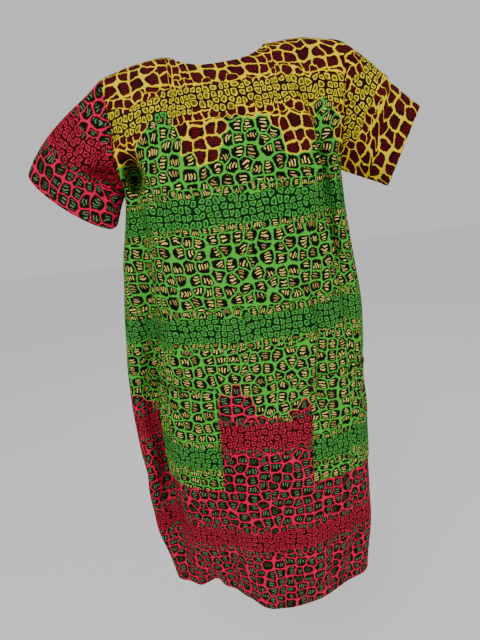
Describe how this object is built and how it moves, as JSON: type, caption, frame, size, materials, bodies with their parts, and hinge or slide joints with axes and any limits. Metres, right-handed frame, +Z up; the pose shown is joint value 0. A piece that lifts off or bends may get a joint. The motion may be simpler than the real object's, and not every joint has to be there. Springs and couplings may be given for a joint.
{
  "type": "short-sleeved boubou dress, as a hollow worn form",
  "caption": "Straight knee-length cotton dress with a round neck, short set-in sleeves and patch pockets, filled out as if worn, open at neck, cuffs and hem.",
  "frame": {"origin": "middle of the line that joins the two points where the neckline meets the shoulder seams", "axes": "+Z up, the front faces -Y, +X to the wearer's left"},
  "size_m": [0.7061, 0.2342, 1.129],
  "materials": {
    "front": "matt printed cotton",
    "back": "matt printed cotton",
    "sleeve_right": "matt printed cotton",
    "sleeve_left": "matt printed cotton",
    "pocket_right": "matt printed cotton",
    "pocket_left": "matt printed cotton"
  },
  "bodies": {
    "root": {"front": "front", "back": "back", "sleeve_right": "sleeve_right", "sleeve_left": "sleeve_left", "pocket_right": "pocket_right", "pocket_left": "pocket_left"}
  },
  "joints": []
}
